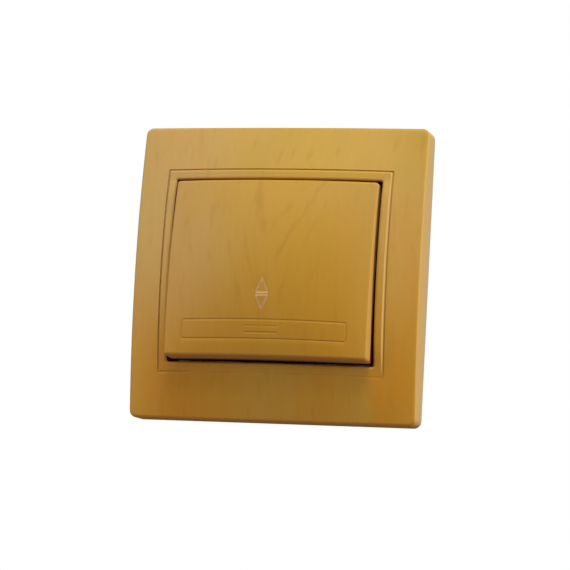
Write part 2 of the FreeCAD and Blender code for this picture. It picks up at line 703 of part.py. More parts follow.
knife += [(seesaw_axis_y + 1.07, 0.5), (common_strip_y + 0.2, 0.5)]
common_parts.append(prism_x(knife, -2.8, 2.8))
common = common.multiFuse(common_parts).removeSplitter()
outer_fold = [e for e in common.Edges if abs(e.CenterOfMass.z + strip_high_z) < 1e-6
              and abs(e.CenterOfMass.y - common_strip_y) < 1e-6]
common = common.makeFillet(0.8, outer_fold)
save("common_terminal", common)

# Clamp cage and screw for terminal one, then mirrored for the others
cage_in_low = strip_low_z - cage_opening
cage_in_high = strip_high_z + cage_head_room
cage_y1 = cage_front_y + cage_depth
cage = block(-clamp_x - cage_half_x, -clamp_x + cage_half_x, cage_front_y, cage_y1,
             cage_in_low - cage_wall, cage_in_high + cage_wall)
upright = [e for e in cage.Edges if along_y(e)]
cage = cage.makeFillet(0.7, upright)
cage = cage.cut(block(-clamp_x - strip_half_x - cage_clearance, -clamp_x + strip_half_x + cage_clearance,
                      cage_front_y - 1, cage_y1 + 1, cage_in_low, cage_in_high))
screw_y = cage_front_y + cage_depth / 2
hole_start = Vector(-clamp_x, screw_y, cage_in_high - 1)
cage = cage.cut(rod(screw_radius + thread_clearance, hole_start, Z_AXIS, 5))
head_top_z = screw_shoulder_z + 0.05 + screw_head_high
terminal_screw = screw(Vector(-clamp_x, screw_y, head_top_z), -Z_AXIS, screw_head_radius, screw_head_high,
                       screw_radius, head_top_z - strip_high_z - 0.1, X_AXIS)
for name, normals in (("one", ()), ("two", (Z_AXIS,)), ("common", (X_AXIS, Z_AXIS))):
    clamp = cage
    driver = terminal_screw
    for normal in normals:
        clamp = mirrored(clamp, normal)
        driver = mirrored(driver, normal)
    save("clamp_" + name, clamp)
    save("terminal_screw_" + name, driver)

# Mechanism housing
housing = chamfered(housing_half_x, housing_half_z, housing_chamfer, cover_flange, housing_back_y)
back = [e for e in housing.Edges if abs(e.CenterOfMass.y - housing_back_y) < 1e-6]
housing = housing.makeChamfer(0.8, back)
mouth = cover_flange - 1
cuts = [block(-6, 6, mouth, contact_strip_y + strip_thick, -13.4, 13.4)]
cuts.append(block(-4.6, 6, mouth, common_y1, -6.6, 6.6))
right_edge = clamp_x + strip_half_x + strip_play
pad_edge = common_pad_half_z + strip_play
cuts.append(block(-common_pad_end_x - strip_play, right_edge, mouth, common_y1, -pad_edge, pad_edge))
cuts.append(block(clamp_x - strip_half_x - strip_play, right_edge, mouth, common_y1,
                  -strip_high_z - strip_play, pad_edge))
for flip in (1, -1):
    cuts.append(block(fold_left - strip_play, pad_end_x + strip_play, mouth, contact_strip_y + strip_thick,
                      flip * (pad_low_z - strip_play), flip * (strip_high_z + strip_play)))
noses = []
nose_y0 = tab_window_y + 0.3
for cx, flip in ((-clamp_x, 1), (-clamp_x, -1), (clamp_x, -1)):
    cuts.append(block(cx - chamber_half_x, cx + chamber_half_x, mouth, chamber_back_y,
                      flip * chamber_low_z, flip * chamber_high_z))
    shank_start = Vector(cx, screw_y, flip * (chamber_high_z - 1))
    head_start = Vector(cx, screw_y, flip * screw_shoulder_z)
    cuts.append(rod(screw_radius + 0.15, shank_start, Z_AXIS * flip, 6))
    cuts.append(rod(screw_head_radius + 0.2, head_start, Z_AXIS * flip, 4))
    wire_z = flip * (cage_in_low + cage_opening / 2)
    cuts.append(rod(wire_hole_radius, Vector(cx, chamber_back_y - 1, wire_z), Y_AXIS, 6))
    cuts.append(Part.makeCone(wire_hole_radius, wire_hole_radius + 1.0, 1.0,
                              Vector(cx, housing_back_y - 0.999, wire_z), Y_AXIS))
pocket_out_x = housing_half_x - pocket_wall
cuts.append(block(pocket_in_x, pocket_out_x, mouth, pocket_back_y, corner_pocket_z[0], corner_pocket_z[1]))
cuts.append(block(-pocket_out_x, -pocket_in_x, mouth, pocket_back_y, -side_pocket_half_z, side_pocket_half_z))
housing = housing.cut(cuts[0].multiFuse(cuts[1:]))
for flip in (1, -1):
    base = housing_half_z - 0.5
    brim = housing_half_z + 0.9
    ledge = [(nose_y0, flip * base), (nose_y0, flip * brim)]
    ledge += [(nose_y0 + 0.5, flip * brim), (nose_y0 + 2.2, flip * (brim - 0.8))]
    ledge.append((nose_y0 + 2.2, flip * base))
    noses.append(prism_x(ledge, -2.4, 2.4))
glyph_y0 = housing_back_y - 0.2
glyph_y1 = housing_back_y + 0.3


def strokes_at(cx, cz, lines):
    """Raised strokes of one figure on the back face."""
    return [block(cx + x0, cx + x1, glyph_y0, glyph_y1, cz + z0, cz + z1) for x0, x1, z0, z1 in lines]


letter_l = [(0.6, 1.2, -1.8, 1.8), (-1.2, 1.2, -1.8, -1.2)]
figure_one = [(-0.3, 0.3, -1.8, 1.8)]
figure_two = [(-1.2, 1.2, 1.2, 1.8), (-1.2, -0.6, -0.3, 1.8), (-1.2, 1.2, -0.3, 0.3), (0.6, 1.2, -1.8, 0.3)]
figure_two.append((-1.2, 1.2, -1.8, -1.2))
noses += strokes_at(clamp_x, -4.4, letter_l)
noses += strokes_at(-clamp_x, 4.4, figure_one)
noses += strokes_at(-clamp_x, -4.4, figure_two)
housing = housing.multiFuse(noses).removeSplitter()
save("mechanism_housing", housing)

print("spring gap to itself", round(pitch - 2 * wire_radius, 3))
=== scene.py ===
import math

import bmesh
import bpy
from mathutils import Matrix, Vector

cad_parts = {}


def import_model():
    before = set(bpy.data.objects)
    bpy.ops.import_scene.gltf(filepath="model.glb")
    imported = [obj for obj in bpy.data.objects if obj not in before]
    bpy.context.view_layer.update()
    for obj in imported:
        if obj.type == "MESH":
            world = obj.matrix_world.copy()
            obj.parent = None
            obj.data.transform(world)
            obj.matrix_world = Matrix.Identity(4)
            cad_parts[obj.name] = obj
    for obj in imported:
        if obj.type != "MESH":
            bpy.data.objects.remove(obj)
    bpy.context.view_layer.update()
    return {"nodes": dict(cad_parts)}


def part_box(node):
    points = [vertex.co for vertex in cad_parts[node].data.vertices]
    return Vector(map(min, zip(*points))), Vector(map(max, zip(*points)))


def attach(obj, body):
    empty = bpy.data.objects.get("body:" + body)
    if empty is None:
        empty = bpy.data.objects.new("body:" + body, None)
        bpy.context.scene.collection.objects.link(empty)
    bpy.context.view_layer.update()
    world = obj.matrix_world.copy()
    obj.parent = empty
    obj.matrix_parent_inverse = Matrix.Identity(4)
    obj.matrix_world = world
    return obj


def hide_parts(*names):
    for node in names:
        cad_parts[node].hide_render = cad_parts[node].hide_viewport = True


# Two-way rocker switch: its finish and fine shape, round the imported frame.
# Sizes are millimetres until a mesh is made. The front faces -Y, the wall is y = 0,
# and a depth is measured forwards from the wall.

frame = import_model()
MM = 0.001

# Cover frame
plate_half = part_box("cover_frame")[1].x / MM
plate_corner = 2.0
plate_edge_round = 1.1
plate_back_bevel = 0.25
plate_wall = 2.0
dome_front = 17.5
dome_drop_x = 7.2
dome_drop_z = 8.9
dome_twist = 6.0
dome_wall = 2.2
window_half_x = 29.2
window_half_z = 25.2
window_corner = 0.5
window_lip_round = 0.6
skirt_wall = 1.8
skirt_foot = 5.0
frame_rib = 1.2
rib_foot = 4.0
rib_x = 22.0
rib_z = 14.0
rib_sink = 0.5
leg_x = 8.0
leg_half_x = 2.25
leg_gap = 0.3
leg_low_z = window_half_z + leg_gap
leg_high_z = window_half_z + skirt_wall
leg_root = 2.0
leg_hook = 0.8
leg_hook_y = 0.1
leg_hook_end_y = 0.7
leg_tip_y = 2.4
leg_taper = 0.2

# Raised field inside the engraved line
inner_raise = 0.62
low_raise_share = 0.3
low_raise_end_z = -10.0
low_raise_side_x = 23.0
inner_fall = 0.27
inner_fall_start_z = 21.0
inner_ease_gap = 0.2
inner_ease_end_z = -19.0

# Engraved line. Places across it run from 1 outside to -1 inside, and a pair is a start and an end.
line_half_x = 31.52
line_half_z = 27.95
line_z = -0.25
line_corner = 0.35
line_width = 1.05
line_depth = 0.5
line_profile = ((1.0, 0.0), (0.88, 1.0), (0.4, 1.0), (0.3, 0.7), (-0.5, 0.04), (-0.6, 0.0))
line_bottom_share = 0.12
line_top_share = 0.65
line_corner_share = 0.5
line_corner_x = (-25.0, -20.5)
line_fade_start = 1.6
line_fade_end = 0.3
climb_span = (-0.5, 0.35)
flank_turn = (0.4, 0.9)

# Rocker cap
rocker_half_x = 28.45
rocker_half_z = 24.35
rocker_edge_round = 0.85
rocker_front = 21.9
rocker_drop_x = 5.1
rocker_drop_z = 4.6
rocker_twist = 3.0
rocker_wall = 1.8
rocker_roof = 2.0
rocker_foot = 7.5
pivot_front = 10.5
rest_tilt = 4.3

# Label field engraved in the rocker
label_half_x = 23.0
label_half_z = 2.5
label_corner = 0.5
label_z = -17.4
label_line = 0.34
label_run = 0.42
label_power = 0.9
engraving_depth = 0.17
label_bar_half_x = 4.5
label_bar_z = (-0.85, 0.85)
label_bar_share = (1.0, 0.45)

# Ribs and arms that hold the rocker on its carrier; a seat rib has its inner x, outer x and reach
seat_front = 16.3
seat_ribs = ((6.4, 7.6, 11.0), (13.0, 14.2, 6.0))
stiff_rib_half_x = 20.0
stiff_rib_half_z = 0.6
stiff_rib_gap = 0.6
arm_inner_x = 14.25
arm_thick = 1.5
arm_z = 8.5
arm_half_z = 2.0
arm_tip = 13.2
arm_tip_set = 0.3
arm_sink = 0.3
hook_front = 14.5
hook_reach = 0.9
hook_thick = 0.3

# Printed two-way mark on the rocker
mark_x = 0.0
mark_half_x = 1.7
mark_top_z = -3.9
mark_bar_z = -8.2
mark_low_z = -12.3
mark_gap = 0.7
mark_bar_line = 0.42
mark_line = 0.45
mark_line_set = 0.1
mark_hatch_x = (-0.7, 0.0, 0.7)
mark_hatch_share = 0.5
mark_hatch_gap = 0.5
mark_fill_gap = 0.3
mark_fill_tip = 0.2
ink_height = 0.02
ink_sink = 0.05

# Claw screws
claw_screw_x = 25.0
claw_z = 7.0
claw_screw_radius = 1.5
claw_screw_core = 1.2
claw_screw_pitch = 0.7
claw_screw_tip_y = 19.5
claw_screw_tip_share = 0.75
claw_screw_point = 0.5
thread_start = 1.0
thread_fade = 1.2
thread_flank = (0.15, 0.95)
claw_head_radius = 3.2
claw_head_high = 2.2
claw_head_under_y = -1.1
claw_head_round = 0.9
claw_head_bevel = 0.25
cross_half = 2.0
cross_half_width = 0.42
cross_depth = 1.3
cross_taper = 0.7
cross_over = 1.0

# Fineness of the meshes
side_steps = 52
corner_steps = 8
edge_steps = 10
plate_steps = 12
field_steps = 6
lip_steps = 6
hollow_steps = 6
plate_wall_shares = (0.33, 0.66)
window_wall_shares = (0.33, 0.66, 1.0)
rib_steps = 12
brow_steps = 9
brow_corner_steps = 6
rocker_wall_shares = (0.25, 0.5, 0.75, 1.0)
roof_shares = (0.8, 0.6, 0.4, 0.2)
grid_fine = 0.08
grid_coarse = 1.1
grid_margin = 0.4
corner_margin = 0.3
bar_margin_in = 0.65
bar_margin_out = 0.35
label_steps = 5
stroke_steps = 10
screw_sides = 28
head_steps = 6
thread_steps = 8
weld_distance = 1e-4
tiny = 1e-6
sharp_angle = 38
thread_sharp_angle = 50

# Material numbers of the two printed pieces, and where their print ends; GAP is a redder, unreflective colour
# painted on the walls in the gaps for the shade there
PRINTED, BARE, EDGE, GAP = 0, 1, 2, 3
edge_turn = 0.84
frame_gap_rows = 3
rocker_printed_rows = 1
rocker_gap_rows = 3
upright_share = 0.7

# Wood print: colours are 0 to 255 display values, and a pair is a start and an end
# Each tone's low, high and pink colours carry a painted sheen, and its last three colours are painted light
# on the side faces; band, warm and cool are the print's own.
frame_tone = {
    "low": (190, 129, 32), "high": (187, 147, 58), "pink": (192, 156, 96),
    "band": (199, 162, 76), "warm": (202, 132, 52), "cool": (176, 148, 62),
    "painted_right_highlight_front": (222, 180, 110), "painted_right_highlight_wall": (206, 180, 140), "painted_left_sheen": (154, 144, 108),
}
rocker_tone = {
    "low": (184, 129, 34), "high": (180, 139, 46), "pink": (188, 150, 92),
    "band": (188, 145, 56), "warm": (196, 136, 58), "cool": (172, 142, 50),
    "painted_right_highlight_front": (212, 166, 94), "painted_right_highlight_wall": (204, 180, 138), "painted_left_sheen": (166, 148, 108),
}
frame_sheet = (0.0, 0.0, 0.0)
rocker_sheet = (0.0, 90.0, 0.0)
fibre_ink = (140, 94, 24)
fleck_ink = (138, 92, 24)
figure_ink = (140, 94, 26)
# Painted highlight on faces that look down and its share; share of the painted side light and the depths over
# which it greys further back
painted_under_highlight = (198, 138, 84)
painted_under_share = 0.7
painted_side_share = 0.8
painted_highlight_y = (-9.0, -1.0)
facing_right = (0.55, 0.97)
facing_left = (-0.97, -0.6)
facing_down = (-0.9, -0.4)
# Where the painted sheen lies: paler toward the top and redder below, pinker to the left and a little to the
# right, fading downward
low_high_z = (-38.0, 34.0)
pink_z = (-28.0, 18.0)
pink_left_x = (-22.0, 18.0)
pink_left_share = 0.8
pink_right_x = (26.0, 50.0)
pink_right_share = 0.35
pink_right_z = (20.0, 38.0)
pink_right_top_share = 0.1
drift_reach = (9.0, 0.0, 6.0)
wander_reach = 24.0
fibre_height = 0.008
fibre_strength = 0.5
lacquer_ior = 1.48
lacquer_shine = 0.18
lacquer_rough = (0.38, 0.46)
sheen_span = (0.2, 0.8)

# Noise scales of the wood print, per millimetre along each axis
drift_scale = (0.045, 0.045, 0.02)
wander_scale = (0.03, 0.03, 0.03)
band_scale = (0.06, 0.02, 0.008)
patch_scale = (0.07, 0.05, 0.03)
fibre_scale = (1.3, 0.6, 0.04)
fleck_scale = (0.6, 0.2, 0.13)
wobble_scale = (0.2, 0.05, 0.11)
broken_scale = (0.26, 0.05, 0.08)
sheen_scale = (0.5, 0.5, 0.12)

# Pointed figure in the middle of the rocker's print
figure_off_x = 0.6
figure_blunt = 3.5
figure_lean = 0.1
figure_wobble = 5.0
figure_steep = 3.4
figure_pitch = 15.5
figure_phase = 5.0
figure_strength = 0.19
figure_soft = 0.35
figure_low_z = -15.0
figure_full_z = -7.0
figure_reach = 17.0
figure_core_share = 0.4
figure_broken = (0.42, 0.62)

# Photograph's viewpoint
view_azimuth = 16.22
view_elevation = -7.12
view_roll = 3.19
view_distance = 718.1
view_shift_x = -0.09
view_shift_z = -2.02
view_lens = 164.39
view_sensor = 36.0
view_clip_start = 0.05

# Room: the floor's half size and the lamps' places and sizes are metres, their power is watts
floor_z = -250.0
floor_half = 3.0
floor_dark = (0.81, 0.81, 0.80, 1)
floor_light = (0.83, 0.83, 0.82, 1)
floor_bounce = 0.22
world_low = 0.03
world_high = 0.65
world_span = (-0.7, 0.9)
lamps = (
    ("key", (0.165, -0.55, 0.935), 0.5, 7.75, (1.0, 1.0, 1.0)),
    ("right_side", (1.0, -0.1, 0.2), 0.4, 4.6, (1.0, 0.97, 0.93)),
    ("left_front", (-0.8, -0.7, 0.15), 0.6, 2.8, (1.0, 0.92, 0.9)),
)


# Surfaces
def smooth(low, high, value):
    """Share from 0 to 1 between two limits, level at both ends."""
    t = min(1.0, max(0.0, (value - low) / (high - low)))
    return t * t * (3 - 2 * t)


def crown(centre, drops, halves):
    """Depth of a crowned surface as a function of x and z."""
    def depth(x, z):
        a = (x / halves[0]) ** 2
        b = (z / halves[1]) ** 2
        return centre - drops[0] * a - drops[1] * b + drops[2] * a * b
    return depth


dome = crown(dome_front, (dome_drop_x, dome_drop_z, dome_twist), (plate_half, plate_half))
rocker_drops = (rocker_drop_x, rocker_drop_z, rocker_twist)
rocker_face = crown(rocker_front, rocker_drops, (rocker_half_x, rocker_half_z))


def inner_face(x, z):
    """Depth of the raised field inside the line; it eases down to the line along the bottom."""
    low = 1 - smooth(-window_half_z, low_raise_end_z, z)
    middle = 1 - smooth(low_raise_side_x, window_half_x, abs(x))
    height = inner_raise * (1 - (1 - low_raise_share) * low * middle)
    fall = inner_fall * smooth(inner_fall_start_z, window_half_z, z)
    fall *= 1 - smooth(window_half_z, line_half_z + line_z, z)
    return dome(x, z) - fall + height * smooth(line_z - line_half_z + inner_ease_gap, inner_ease_end_z, z)


# Mesh tools
def loop(half_x, half_z, corner):
    """Points and outward directions round a rounded rectangle."""
    arcs = []
    for k, (sx, sz) in enumerate(((1, -1), (1, 1), (-1, 1), (-1, -1))):
        arc = []
        for i in range(corner_steps + 1):
            angle = math.radians(90 * (k - 1 + i / corner_steps))
            ux, uz = math.cos(angle), math.sin(angle)
            arc.append((sx * (half_x - corner) + corner * ux, sz * (half_z - corner) + corner * uz, ux, uz))
        arcs.append(arc)
    points = []
    for k in range(4):
        points += arcs[k]
        start, end = arcs[k][-1], arcs[(k + 1) % 4][0]
        for i in range(1, side_steps):
            t = i / side_steps
            x = start[0] + t * (end[0] - start[0])
            z = start[1] + t * (end[1] - start[1])
            points.append((x, z, start[2], start[3]))
    return points


def level(points, depth):
    """Row of points at one depth."""
    return [(p[0], depth, p[1]) for p in points]


def laid(points, surface, back=0.0):
    """Row of points on a surface, set back by a distance."""
    return [(p[0], surface(p[0], p[1]) - back, p[1]) for p in points]


def flat(row):
    """The (x, z) places of a row."""
    return [(x, z) for x, _, z in row]


def between(first, last, steps):
    """Loops of (x, z) between two others, ends left out."""
    rows = []
    for i in range(1, steps):
        t = i / steps
        rows.append([(a[0] + t * (b[0] - a[0]), a[1] + t * (b[1] - a[1])) for a, b in zip(first, last)])
    return rows


def part_way(first, last, t):
    """Row part of the way from one row to another."""
    return [tuple(a[i] + t * (b[i] - a[i]) for i in range(3)) for a, b in zip(first, last)]


def round_over(surface, wall, radius, steps):
    """Rows that round a wall over into a crowned face; each wall point's direction leaves the solid."""
    rows = [[] for _ in range(steps + 1)]
    for x, z, ux, uz in wall:
        cx, cz = x - radius * ux, z - radius * uz
        fall = surface(cx - ux / 2, cz - uz / 2) - surface(cx + ux / 2, cz + uz / 2)
        tilt = math.atan(fall)
        reach = radius * math.sin(tilt)
        middle = surface(cx + reach * ux, cz + reach * uz) - radius * math.cos(tilt)
        for i in range(steps + 1):
            turn = (math.pi / 2 - tilt) * i / steps
            out = radius * math.cos(turn)
            rows[i].append((cx + out * ux, middle + radius * math.sin(turn), cz + out * uz))
    return rows


def add_rows(bm, rows, closed=False, finish=None):
    """Quads between successive loops of (x, depth, z), each with its material; returns the vertices."""
    loops = [[bm.verts.new((x, -depth, z)) for x, depth, z in row] for row in rows]
    pairs = list(zip(loops, loops[1:]))
    if closed:
        pairs.append((loops[-1], loops[0]))
    for row, (low, high) in enumerate(pairs):
        for i in range(len(low)):
            j = (i + 1) % len(low)
            face = bm.faces.new((low[i], low[j], high[j], high[i]))
            face.material_index = finish(row, i) if finish else PRINTED
    return loops


def add_closed(bm, rows):
    """Quads between successive loops, with the first and the last loop closed."""
    made = add_rows(bm, rows)
    bm.faces.new(made[0])
    bm.faces.new(made[-1])


def add_prism(bm, outline, start, end):
    """Closed prism: two matching outlines of vertices given by a function of each end."""
    near = [bm.verts.new(start(a, b)) for a, b in outline]
    far = [bm.verts.new(end(a, b)) for a, b in outline]
    count = len(outline)
    bm.faces.new(near)
    bm.faces.new(far[::-1])
    for i in range(count):
        j = (i + 1) % count
        bm.faces.new((near[i], far[i], far[j], near[j]))


def add_rib(bm, low, high, foot, surface, back):
    """Upright wall between two (x, z) corners, from a foot depth to just under a crowned surface."""
    along_x = high[0] - low[0] > high[1] - low[1]
    sections = []
    for i in range(rib_steps + 1):
        t = i / rib_steps
        if along_x:
            x = low[0] + t * (high[0] - low[0])
            sides = ((x, low[1]), (x, high[1]))
        else:
            z = low[1] + t * (high[1] - low[1])
            sides = ((low[0], z), (high[0], z))
        (xa, za), (xb, zb) = sides
        tops = (surface(xa, za) - back, surface(xb, zb) - back)
        sections.append(((xa, foot, za), (xa, tops[0], za), (xb, tops[1], zb), (xb, foot, zb)))
    add_closed(bm, sections)


def leave_bare(bm, start):
    """Leave the faces made from a count on without print."""
    bm.faces.ensure_lookup_table()
    for face in bm.faces[start:]:
        face.material_index = BARE


def part_edges(bm):
    """Give the printed faces that turn away from the front the edge's print."""
    bm.normal_update()
    for face in bm.faces:
        if face.material_index == PRINTED and -face.normal.y < edge_turn:
            face.material_index = EDGE


def to_object(name, bm, scale=MM):
    """Object in the scene from a bmesh, which is used up."""
    mesh = bpy.data.meshes.new(name)
    bm.to_mesh(mesh)
    bm.free()
    mesh.transform(Matrix.Scale(scale, 4))
    made = bpy.data.objects.new(name, mesh)
    bpy.context.scene.collection.objects.link(made)
    return made


def make_piece(name, bm, body, materials, replaced=(), sharp=sharp_angle):
    """Weld a bmesh in millimetres and make it a piece that rides on a body."""
    bmesh.ops.remove_doubles(bm, verts=bm.verts, dist=weld_distance)
    bmesh.ops.recalc_face_normals(bm, faces=bm.faces)
    if len(materials) > EDGE:
        part_edges(bm)
    piece = to_object(name, bm)
    piece.data.shade_smooth()
    piece.data.set_sharp_from_angle(angle=math.radians(sharp))
    for material in materials:
        piece.data.materials.append(material)
    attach(piece, body)
    if replaced:
        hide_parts(*replaced)
    return piece


# Material tools
def linear(red, green, blue):
    """Linear colour from 0 to 255 display values."""
    def one(value):
        value /= 255
        return value / 12.92 if value <= 0.04045 else ((value + 0.055) / 1.055) ** 2.4
    return (one(red), one(green), one(blue), 1.0)


def add(tree, kind, inputs=(), **settings):
    """New shader node with its settings, input values and links."""
    made = tree.nodes.new(kind)
    for key, value in settings.items():
        setattr(made, key, value)
    for key, value in dict(inputs).items():
        if isinstance(value, bpy.types.NodeSocket):
            tree.links.new(value, made.inputs[key])
        else:
            made.inputs[key].default_value = value
    return made


def new_material(name, shader):
    """Material with a Principled shader and its input values; returns it, its tree and the shader."""
    material = bpy.data.materials.new(name)
    material.use_nodes = True
    tree = material.node_tree
    tree.nodes.clear()
    principled = add(tree, "ShaderNodeBsdfPrincipled", shader)
    add(tree, "ShaderNodeOutputMaterial", {"Surface": principled.outputs["BSDF"]})
    return material, tree, principled


def maths(tree, operation, first, second=0.0):
    """Result of one sum."""
    return add(tree, "ShaderNodeMath", {0: first, 1: second}, operation=operation).outputs[0]


def vector_maths(tree, operation, first, second):
    """Result of one sum along each axis."""
    return add(tree, "ShaderNodeVectorMath", {0: first, 1: second}, operation=operation).outputs[0]


def place_mm(tree):
    """Object coordinates in millimetres."""
    where = add(tree, "ShaderNodeTexCoord").outputs["Object"]
    return add(tree, "ShaderNodeVectorMath", {0: where, 3: 1 / MM}, operation="SCALE").outputs[0]


def noise(tree, place, scale, detail=2.0, roughness=0.5, output="Fac"):
    """Noise at a scale per millimetre along each axis."""
    inputs = {"Vector": vector_maths(tree, "MULTIPLY", place, scale), "Scale": 1.0}
    inputs.update({"Detail": detail, "Roughness": roughness})
    return add(tree, "ShaderNodeTexNoise", inputs).outputs[output]


def ramp(tree, value, low, high, start=0.0, end=1.0):
    """Smooth step of a value into another range."""
    inputs = {"Value": value, "From Min": low, "From Max": high, "To Min": start, "To Max": end}
    return add(tree, "ShaderNodeMapRange", inputs, interpolation_type="SMOOTHSTEP").outputs["Result"]


def blend(tree, share, first, second):
    """Mix of two colours."""
    return add(tree, "ShaderNodeMix", {0: share, 6: first, 7: second}, data_type="RGBA").outputs[2]


def tinted(tree, colour, value, limits, shares, tone):
    """Colour moved toward a tone by a share that follows a value between two limits."""
    return blend(tree, ramp(tree, value, *limits, *shares), colour, linear(*tone))


def bumped(tree, principled, height, distance_mm, strength=1.0):
    """Bump from a height."""
    inputs = {"Height": height, "Distance": distance_mm * MM, "Strength": strength}
    tree.links.new(add(tree, "ShaderNodeBump", inputs).outputs["Normal"], principled.inputs["Normal"])


def seen_by(tree, *kinds):
    """1 for rays of the given kinds and 0 for others."""
    ray = add(tree, "ShaderNodeLightPath")
    seen = ray.outputs[kinds[0]]
    for kind in kinds[1:]:
        seen = maths(tree, "MAXIMUM", seen, ray.outputs[kind])
    return seen


# Wood print
def base_and_painted_sheen_colour(tree, place, sheet, tone):
    """Broad colour of the print with a painted sheen: paler above and redder below, pinker to the left and a
    little to the right.
    """
    axes = add(tree, "ShaderNodeSeparateXYZ", {0: place})
    height = axes.outputs["Z"]
    wander = noise(tree, sheet, wander_scale, 1.0, 0.5)
    across = maths(tree, "ADD", axes.outputs["X"], maths(tree, "MULTIPLY", wander, wander_reach))
    colour = blend(tree, ramp(tree, height, *low_high_z), linear(*tone["low"]), linear(*tone["high"]))
    right = ramp(tree, across, *pink_right_x, 0.0, pink_right_share)
    right = maths(tree, "MULTIPLY", right, ramp(tree, height, *pink_right_z, 1.0, pink_right_top_share))
    aside = maths(tree, "ADD", ramp(tree, across, *pink_left_x, pink_left_share, 0.0), right)
    pink = maths(tree, "MULTIPLY", aside, ramp(tree, height, *pink_z, 0.0, 1.0))
    return blend(tree, pink, colour, linear(*tone["pink"]))


def grained(tree, colour, grain, fibres, tone):
    """Colour with the print's bands, patches, fibres and flecks."""
    bands = noise(tree, grain, band_scale, 2.0, 0.5)
    patches = noise(tree, grain, patch_scale, 1.0, 0.4)
    flecks = noise(tree, grain, fleck_scale, 1.0, 0.4)
    colour = tinted(tree, colour, bands, (0.36, 0.66), (0.0, 0.3), tone["band"])
    colour = tinted(tree, colour, patches, (0.52, 0.72), (0.0, 0.16), tone["warm"])
    colour = tinted(tree, colour, patches, (0.28, 0.46), (0.22, 0.0), tone["cool"])
    colour = tinted(tree, colour, fibres, (0.35, 0.75), (0.0, 0.06), fibre_ink)
    return tinted(tree, colour, flecks, (0.6, 0.78), (0.0, 0.13), fleck_ink)


def figure(tree, grain):
    """Share of the dark pointed lines in the middle of the print; they end above the label field."""
    axes = add(tree, "ShaderNodeSeparateXYZ", {0: grain})
    aside = maths(tree, "ADD", axes.outputs["X"], figure_off_x)
    aside = maths(tree, "SUBTRACT", aside, maths(tree, "MULTIPLY", axes.outputs["Z"], figure_lean))
    wobble = maths(tree, "SUBTRACT", noise(tree, grain, wobble_scale), 0.5)
    aside = maths(tree, "ADD", aside, maths(tree, "MULTIPLY", wobble, figure_wobble))
    squared = maths(tree, "ADD", maths(tree, "MULTIPLY", aside, aside), figure_blunt ** 2)
    rounded = maths(tree, "SQRT", squared)
    height = maths(tree, "SUBTRACT", axes.outputs["Z"], maths(tree, "MULTIPLY", rounded, figure_steep))
    height = maths(tree, "ADD", height, figure_phase)
    wave = maths(tree, "SINE", maths(tree, "MULTIPLY", height, 2 * math.pi / figure_pitch))
    lines = ramp(tree, wave, figure_soft, 1.0, 0.0, figure_strength)
    core = figure_reach * figure_core_share
    inside = ramp(tree, maths(tree, "ABSOLUTE", aside), core, figure_reach, 1.0, 0.0)
    above = ramp(tree, axes.outputs["Z"], figure_low_z, figure_full_z)
    inside = maths(tree, "MULTIPLY", inside, above)
    broken = ramp(tree, noise(tree, grain, broken_scale), *figure_broken)
    return maths(tree, "MULTIPLY", maths(tree, "MULTIPLY", lines, inside), broken)


def painted_side_light(tree, colour, place, tone):
    """Colour with painted light by facing: a paler painted highlight on faces that look to the right, greyer
    further back, a greyer painted sheen on faces that look to the left, and a redder painted highlight on
    faces that look down.
    """
    along_y = add(tree, "ShaderNodeSeparateXYZ", {0: place}).outputs["Y"]
    facing = add(tree, "ShaderNodeSeparateXYZ", {0: add(tree, "ShaderNodeTexCoord").outputs["Normal"]})
    right = ramp(tree, facing.outputs["X"], *facing_right)
    left = ramp(tree, facing.outputs["X"], *facing_left, 1.0, 0.0)
    under = ramp(tree, facing.outputs["Z"], *facing_down, 1.0, 0.0)
    thin = blend(tree, ramp(tree, along_y, *painted_highlight_y), linear(*tone["painted_right_highlight_front"]), linear(*tone["painted_right_highlight_wall"]))
    colour = blend(tree, maths(tree, "MULTIPLY", right, painted_side_share), colour, thin)
    colour = blend(tree, maths(tree, "MULTIPLY", left, painted_side_share), colour, linear(*tone["painted_left_sheen"]))
    return blend(tree, maths(tree, "MULTIPLY", under, painted_under_share), colour, linear(*painted_under_highlight))


def wood_print(name, shift, tone, pointed, shine):
    """Light beech print under satin lacquer, from its own place on the printed sheet, with painted sheen and
    painted side light in its colour.
    """
    material, tree, principled = new_material(name, {"IOR": lacquer_ior, "Specular IOR Level": shine})
    place = place_mm(tree)
    sheet = vector_maths(tree, "ADD", place, shift)
    drift = noise(tree, sheet, drift_scale, output="Color")
    drift = vector_maths(tree, "SUBTRACT", drift, (0.5, 0.5, 0.5))
    grain = vector_maths(tree, "ADD", sheet, vector_maths(tree, "MULTIPLY", drift, drift_reach))
    fibres = noise(tree, grain, fibre_scale, 4.0, 0.55)

    colour = base_and_painted_sheen_colour(tree, place, sheet, tone)
    colour = grained(tree, colour, grain, fibres, tone)
    if pointed:
        colour = blend(tree, figure(tree, grain), colour, linear(*figure_ink))
    tree.links.new(painted_side_light(tree, colour, place, tone), principled.inputs["Base Color"])

    sheen = noise(tree, sheet, sheen_scale)
    tree.links.new(ramp(tree, sheen, *sheen_span, *lacquer_rough), principled.inputs["Roughness"])
    bumped(tree, principled, fibres, fibre_height, fibre_strength)
    return material


# Other materials
def printed_ink(name, thin, thick):
    """Satin ink, thin enough to let the print show in places."""
    material, tree, principled = new_material(name, {"Specular IOR Level": 0.3})
    worn = noise(tree, place_mm(tree), (1.2, 1.2, 1.2), 2.0, 0.5)
    colour = blend(tree, ramp(tree, worn, 0.35, 0.65), linear(*thin), linear(*thick))
    tree.links.new(colour, principled.inputs["Base Color"])
    tree.links.new(ramp(tree, worn, 0.2, 0.8, 0.36, 0.5), principled.inputs["Roughness"])
    bumped(tree, principled, worn, 0.004)
    return material


